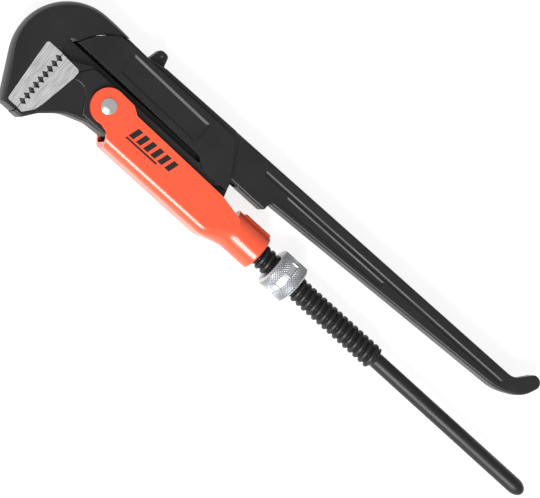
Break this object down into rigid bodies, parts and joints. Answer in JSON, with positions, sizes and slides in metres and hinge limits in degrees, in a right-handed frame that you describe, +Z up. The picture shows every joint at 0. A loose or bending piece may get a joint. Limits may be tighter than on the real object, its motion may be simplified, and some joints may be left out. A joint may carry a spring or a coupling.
{
  "type": "pipe wrench",
  "caption": "Swedish-pattern pipe wrench with toothed jaws at 90 degrees, a pressed steel sleeve pivoted on a rivet, and a knurled nut that runs the hook jaw in and out.",
  "frame": {"origin": "centre of the bounding box in plan, on the floor that the wrench lies on", "axes": "+X from the jaws to the ends of the handles, +Y from the threaded handle to the main handle, +Z up through the thickness of the flat-lying wrench"},
  "size_m": [0.3549, 0.0798, 0.0244],
  "materials": {
    "main_leg": "satin black on a steel forging, jaw face ground bright",
    "threaded_leg": "satin black on a steel forging, jaw face ground bright",
    "sleeve": "gloss orange-red paint on pressed steel",
    "pivot_rivet": "bright steel",
    "adjusting_nut": "bright zinc plate, knurled",
    "leaf_spring": "blued spring steel"
  },
  "bodies": {
    "main_leg": {"main_leg": "main_leg", "pivot_rivet": "pivot_rivet"},
    "sleeve": {"sleeve": "sleeve", "leaf_spring": "leaf_spring"},
    "threaded_leg": {"threaded_leg": "threaded_leg"},
    "adjusting_nut": {"adjusting_nut": "adjusting_nut"}
  },
  "joints": [
    {"name": "handle_swing", "type": "hinge", "parent": "main_leg", "child": "sleeve", "pos_m": [-0.11705, -0.00615, 0.0122], "axis": [0, 0, -1], "range_deg": [0, 5]},
    {"name": "jaw_slide", "type": "slide", "parent": "sleeve", "child": "threaded_leg", "axis": [-1, 0, 0], "range_m": [0, 0.038]},
    {"name": "nut_turn", "type": "hinge", "parent": "sleeve", "child": "adjusting_nut", "pos_m": [0.00975, -0.00885, 0.0122], "axis": [1, 0, 0], "range_deg": [0, 3800]}
  ],
  "couplings": [
    {"joint": "nut_turn", "follows": "jaw_slide", "rad_per_m": 1745.3}
  ]
}
